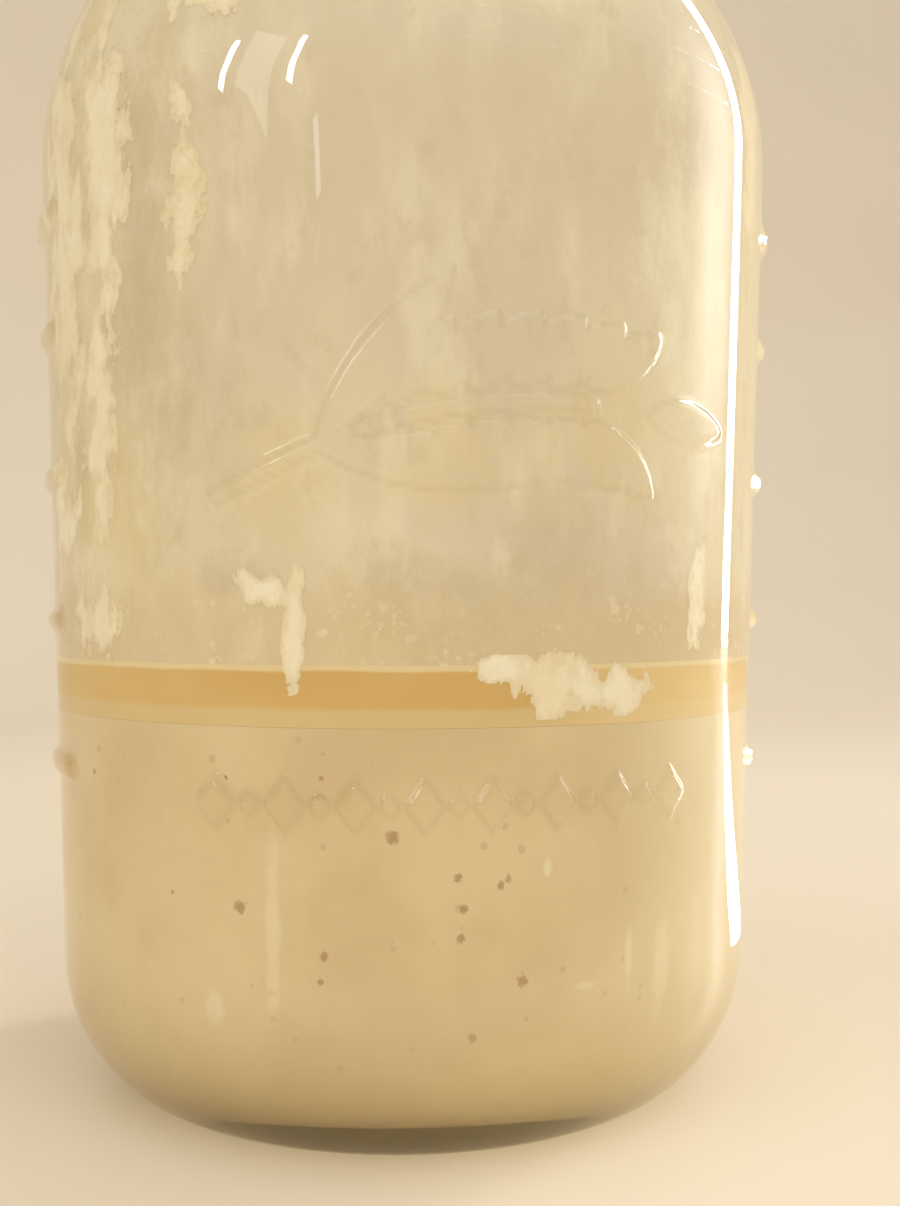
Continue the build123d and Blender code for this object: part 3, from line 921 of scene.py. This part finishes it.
filmLook = dict(
    plain=tint(229, 213, 180), cool=tint(220, 204, 175), cream=tint(246, 233, 203),
    # clear: thinner film, its colour painted darker as painted shade for the dim inside of the jar showing
    # through
    yellow=tint(230, 208, 160), clear=tint(211, 192, 156), residue=tint(218, 192, 146),
    strength=dict(cream=0.75, cool=0.7, yellow=0.6, clear=0.62), fringe=0.6, letsThrough=0.6,
    tone=dict(scale=0.03, stretch=1.7, low=0.4, high=0.6, detail=5),
    streaks=dict(scale=0.14, stretch=3.0, low=0.5, high=0.72, detail=5, share=0.5),
    blots=dict(scale=0.24, stretch=1.5, low=0.52, high=0.68, detail=6, roughness=0.65, share=0.5),
    rag=dict(size=4.6, scale=0.14, stretch=1.5, detail=8, roughness=0.72),
    broken=dict(scale=0.3, stretch=1.8, low=0.3, high=0.62, detail=6, roughness=0.7), unbroken=0.4,
    # the bubbly band just above the liquid, and the height at which the film ends
    lowBand=(60.0, 69.0), lowShare=0.6, lowThinned=0.04, lowRag=6.0,
    fizz=dict(scale=0.62, size=0.4, chance=0.35), froth=dict(scale=1.5, size=0.5, chance=0.5),
    frothShare=0.6, fizzShare=0.5, fizzPatches=dict(scale=0.2, low=0.42, high=0.6),
    topBand=(150.0, 163.0), topRag=4.0, thinnedShare=0.05,
    # kind, azimuth, height, half width in degrees, half height
    # the clear spots are thinner film with painted shade from the dim inside; the broad clear spot at -47
    # degrees is painted shade on the left-hand side
    spots=(
        ("cream", -57, 112, 7, 22), ("cream", -60, 66, 9, 8),
        ("cream", -37.6, 108, 4, 9), ("clear", -47, 104, 12, 32),
        ("clear", -66, 112, 5, 16), ("yellow", -52, 136, 14, 6),
        ("yellow", -60, 80, 12, 8), ("clear", -46, 113, 3.6, 14),
        ("clear", -50, 95, 6, 6), ("clear", -34.4, 66.4, 3, 2.4),
        ("clear", -29, 66.5, 2.4, 1.8), ("clear", 16, 71, 6, 7),
        ("clear", -8.8, 66.5, 2.6, 3), ("clear", -64, 78, 3, 8),
        ("cool", 5, 117, 20, 11), ("clear", -2, 62, 12, 4.5),
        ("yellow", -52, 72, 9, 5.5), ("yellow", 3, 80, 14, 6),
        ("yellow", 26, 82, 9, 9), ("yellow", -24, 77, 7, 7),
        ("cream", 2, 133, 16, 4), ("cream", 38, 95, 8, 20),
        ("yellow", 120, 92, 22, 12), ("clear", 160, 105, 14, 10),
        ("cream", 205, 118, 18, 10), ("yellow", 262, 80, 16, 9),
        ("clear", 84, 74, 8, 7), ("clear", 230, 70, 9, 6),
    ),
)


def filmMaterial():
    look = filmLook
    material, shader, place = newMaterial("driedFilm", Roughness=0.5, IOR=1.4)
    colour = mix(clouds(place, **look["tone"]), look["plain"], look["cool"])
    colour = mix(clouds(place, **look["streaks"]), colour, look["cream"])
    # blots of thinner film, painted darker as painted shade for the dim inside showing through
    colour = mix(clouds(place, **look["blots"]), colour, look["clear"])
    rag = wobble(place, **look["rag"])
    whole = look["unbroken"]
    broken = maths("MULTIPLY_ADD", clouds(place, **look["broken"]), 1.0 - whole, whole)
    thinned = 0.0
    # each spot tints the film; the clear ones add painted shade
    for kind, *where in look["spots"]:
        mark = times(spot(place, rag, *where, look["fringe"]), broken)
        colour = mix(times(mark, look["strength"][kind]), colour, look[kind])
        if kind == "clear":
            thinned = larger(thinned, mark)
    low = ramp(plus(place["Height"], times(rag, look["lowRag"])), *look["lowBand"], 1.0, 0.0)
    froth = times(dots(place, **look["froth"])["Mask"], look["frothShare"])
    fizz = larger(dots(place, **look["fizz"])["Mask"], froth)
    fizz = times(fizz, times(low, clouds(place, **look["fizzPatches"])))
    colour = mix(times(low, look["lowShare"]), colour, look["residue"])
    feed(shader, "Base Color", mix(times(fizz, look["fizzShare"]), colour, look["cream"]))
    solid = minus(minus(1.0, times(thinned, look["thinnedShare"])), times(low, look["lowThinned"]))
    fade = ramp(plus(place["Height"], times(rag, look["topRag"])), *look["topBand"], 1.0, 0.0)
    kept = minus(1.0, times(lightRay(shader), look["letsThrough"]))
    feed(shader, "Alpha", times(times(solid, fade), kept))
    return material


crustLook = dict(
    plain=tint(242, 225, 190), pale=tint(248, 236, 208), dark=tint(227, 205, 163),
    tone=dict(scale=0.12, stretch=2.0, detail=5),
    grain=dict(scale=0.5, stretch=1.8, low=0.5, high=0.75, share=0.45),
    pits=dict(size=2.2, scale=0.4, stretch=1.8, detail=6, roughness=0.7),
    edge=tint(231, 212, 173), edgeReach=0.6, edgeShare=0.85,
    bumps=dict(scale=0.7, detail=5), bump=dict(distance=0.35 * mm, strength=0.6),
)


def crustMaterial():
    look = crustLook
    material, shader, place = newMaterial("driedDough", Roughness=0.6, IOR=1.4)
    colour = mix(clouds(place, **look["tone"]), look["plain"], look["pale"])
    colour = mix(clouds(place, **look["grain"]), colour, look["dark"])
    cover = plus(attribute(shader, "cover"), wobble(place, **look["pits"]))
    edge = ramp(cover, 0.0, look["edgeReach"], look["edgeShare"], 0.0)
    feed(shader, "Base Color", mix(edge, colour, look["edge"]))
    feed(shader, "Alpha", maths("GREATER_THAN", cover, 0.0))
    bump(shader, rawClouds(place, **look["bumps"]), **look["bump"])
    return material


metalLook = dict(
    disc=dict(colour=(0.76, 0.64, 0.4, 1.0), dark=(0.58, 0.46, 0.26, 1.0), roughness=0.32),
    band=dict(colour=(0.72, 0.68, 0.6, 1.0), dark=(0.5, 0.46, 0.4, 1.0), roughness=0.36),
    dull=dict(scale=0.09, low=0.5, high=0.75, detail=5), dullShare=0.45, dullRoughness=0.12,
    fine=dict(scale=0.8, stretch=0.12, low=0.3, high=0.7, detail=5), fineRoughness=0.1,
    bumpHeight=0.02 * mm,
)


def metalMaterial(kind):
    look = metalLook
    own = look[kind]
    material, shader, place = newMaterial(kind + "Metal", Metallic=1.0)
    dull, fine = clouds(place, **look["dull"]), clouds(place, **look["fine"])
    feed(shader, "Base Color", mix(times(dull, look["dullShare"]), own["colour"], own["dark"]))
    rough = plus(own["roughness"], times(fine, look["fineRoughness"]))
    feed(shader, "Roughness", plus(rough, times(dull, look["dullRoughness"])))
    bump(shader, fine, look["bumpHeight"])
    return material


sealLook = dict(
    plain=tint(206, 196, 178), dark=tint(190, 178, 156), worn=dict(scale=0.25, detail=5),
    bumpScale=1.2, bumpHeight=0.05 * mm,
)


def sealMaterial():
    look = sealLook
    material, shader, place = newMaterial("sealRubber", Roughness=0.6)
    feed(shader, "Base Color", mix(clouds(place, **look["worn"]), look["plain"], look["dark"]))
    bump(shader, rawClouds(place, scale=look["bumpScale"]), look["bumpHeight"])
    return material


def dress(piece, material, body, node):
    piece.data.materials.clear()
    piece.data.materials.append(material)
    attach(piece, body)
    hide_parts(node)


dress(glass, glassMaterial(), "jar", "glass_jar")
dress(starter, doughMaterial(), "jar", "starter")
dress(hooch, hoochMaterial(), "jar", "hooch")
dress(film, filmMaterial(), "jar", "dried_film")
dress(crust, crustMaterial(), "jar", "thick_smears")
dress(seal, sealMaterial(), "lid", "sealing_ring")
dress(disc, metalMaterial("disc"), "lid", "lid_disc")
dress(band, metalMaterial("band"), "band", "screw_band")
print("pieces dressed")


# Floor, backdrop, lamps and camera
room = dict(
    halfWidth=5.0, front=-3.0, back=0.9, bend=0.35, bendSteps=16, height=1.4,
    colour=tint(234, 220, 197), shaded=0.96, roughness=0.45, tone=dict(scale=0.004, detail=2),
    sky=(1.0, 0.975, 0.935, 1.0), skyLeft=(0.4, 0.37, 0.31, 1.0), skyStrength=0.7,
)


def makeRoom():
    bpy.ops.mesh.primitive_plane_add(size=2.0)
    sweep = bpy.context.object
    sweep.name = "backdrop_sweep"
    away = room["back"] - room["bend"]
    line = arcPoints((away, room["bend"]), room["bend"], -90.0, 90.0, room["bendSteps"])
    line.append((room["back"], room["height"]))
    switchTo("EDIT")
    bpy.ops.mesh.select_all(action="DESELECT")
    switchTo("OBJECT")
    for vertex in sweep.data.vertices:
        vertex.co.x *= room["halfWidth"]
        vertex.co.y = away if vertex.co.y > 0.0 else room["front"]
    for edge in sweep.data.edges:          # the far edge is drawn up into the backdrop
        edge.select = all(sweep.data.vertices[index].co.y > 0.0 for index in edge.vertices)
    switchTo("EDIT")
    bpy.ops.mesh.select_mode(type="EDGE")
    for here, there in zip(line, line[1:]):
        step = (0.0, there[0] - here[0], there[1] - here[1])
        bpy.ops.mesh.extrude_region_move(TRANSFORM_OT_translate={"value": step})
    bpy.ops.mesh.select_all(action="SELECT")
    bpy.ops.mesh.normals_make_consistent(inside=False)
    switchTo("OBJECT")
    bpy.ops.object.shade_smooth()
    material, shader, place = newMaterial("paleBackdrop", Roughness=room["roughness"])
    shaded = (*(part * room["shaded"] for part in room["colour"][:3]), 1.0)
    feed(shader, "Base Color", mix(clouds(place, **room["tone"]), shaded, room["colour"]))
    sweep.data.materials.append(material)


lampSpread = 100.0            # degrees
lampAim = Vector((0.0, 0.0, 0.08))
lamps = (
    # name, azimuth from the jar's front, distance, height, width, tall, power, colour, roll
    ("windowRight", 115.0, 1.1, 0.36, 0.11, 1.5, 3.0, (1.0, 1.0, 0.98), 0.0),
    ("glowSide", 101.0, 1.3, 0.5, 0.8, 1.3, 2.2, (1.0, 0.99, 0.97), 0.0),
    ("glowTop", 15.0, 0.4, 1.5, 1.3, 1.1, 1.7, (1.0, 0.99, 0.97), 0.0),
    ("fillFront", 30.0, 1.6, 1.1, 1.2, 0.9, 2.0, (1.0, 0.98, 0.96), 0.0),
    ("fillLeft", -78.0, 1.3, 0.45, 0.8, 0.8, 1.35, (1.0, 0.98, 0.95), 0.0),
    ("paneLeft", -59.0, 1.2, 0.62, 0.04, 0.24, 0.17, (0.92, 0.96, 1.0), -20.0),
    ("paneMiddle", -49.0, 1.2, 0.62, 0.22, 0.3, 0.12, (1.0, 0.98, 0.94), -20.0),
    ("paneInner", -38.0, 1.2, 0.62, 0.04, 0.24, 0.14, (0.92, 0.96, 1.0), -20.0),
    ("paneLow", -32.0, 1.2, 0.42, 0.03, 0.07, 0.006, (0.92, 0.96, 1.0), 12.0),
)
glint = dict(azimuth=115.0, near=0.09, far=0.7, width=0.035, lift=0.002, power=0.35)


def softenEdges(lamp):
    # the glow fades out towards the lamp's edges
    lamp.data.use_nodes = True
    tree = lamp.data.node_tree
    place = addNode("NewGeometry", tree=tree).outputs["Parametric"]
    sides = addNode("SeparateXYZ", {0: place}).outputs[:2]
    fades = [ramp(maths("ABSOLUTE", minus(side, 0.5)), 0.05, 0.5, 1.0, 0.0) for side in sides]
    feed(tree.nodes["Emission"], "Strength", times(*fades))


def addLamp(name, place, rotation, width, tall, power):
    bpy.ops.object.light_add(type="AREA", location=place, rotation=rotation)
    lamp = bpy.context.object
    lamp.name = name
    lamp.visible_camera = False
    lamp.data.shape = "RECTANGLE"
    lamp.data.size = width
    lamp.data.size_y = tall
    lamp.data.energy = power
    return lamp


def makeLamps():
    for name, azimuth, distance, height, width, tall, power, colour, roll in lamps:
        place = around(azimuth, distance, height)
        aim = (lampAim - place).to_track_quat("-Z", "Y") @ Quaternion((0.0, 0.0, 1.0), math.radians(roll))
        lamp = addLamp(name, place, aim.to_euler(), width, tall, power)
        lamp.data.color = colour
        lamp.data.spread = math.radians(lampSpread)
        lamp.visible_glossy = not name.startswith("fill")
        if name == "glowSide":
            softenEdges(lamp)


def makeCounterGlint():
    # the bright patch that the window throws on the counter, seen in the lower half of the glass
    place = around(glint["azimuth"], (glint["near"] + glint["far"]) / 2.0, glint["lift"])
    facingUp = (math.pi, 0.0, math.radians(glint["azimuth"]))
    addLamp("counterGlint", place, facingUp, glint["width"], glint["far"] - glint["near"], glint["power"])


def makeSky():
    world = bpy.data.worlds.new("paleSky")
    bpy.context.scene.world = world
    world.use_nodes = True
    sky = world.node_tree.nodes["Background"]
    coords = addNode("TexCoord", tree=world.node_tree).outputs["Generated"]
    parts = addNode("SeparateXYZ", {0: coords}).outputs
    share = ramp(plus(parts["X"], times(parts["Z"], 0.7)), -0.9, 0.2)
    feed(sky, "Color", mix(share, room["skyLeft"], room["sky"]))
    feed(sky, "Strength", room["skyStrength"])


def makeCamera():
    place = around(camera["azimuth"], camera["distance"], camera["height"])
    aside = math.atan(camera["axisOffset"] / camera["focal"])
    turn = math.radians(camera["azimuth"]) - aside
    rise = math.pi / 2.0 + math.radians(camera["rise"])
    bpy.ops.object.camera_add(location=place, rotation=(rise, 0.0, turn))
    view = bpy.context.object
    view.name = "photoCamera"
    view.data.sensor_width = camera["sensor"]
    view.data.lens = camera["focal"] / camera["imageHeight"] * camera["sensor"]
    view.data.clip_start = 0.005
    bpy.context.scene.camera = view


makeRoom()
makeLamps()
makeCounterGlint()
makeSky()
makeCamera()
bpy.context.scene.view_settings.view_transform = "Standard"
print("stage set")
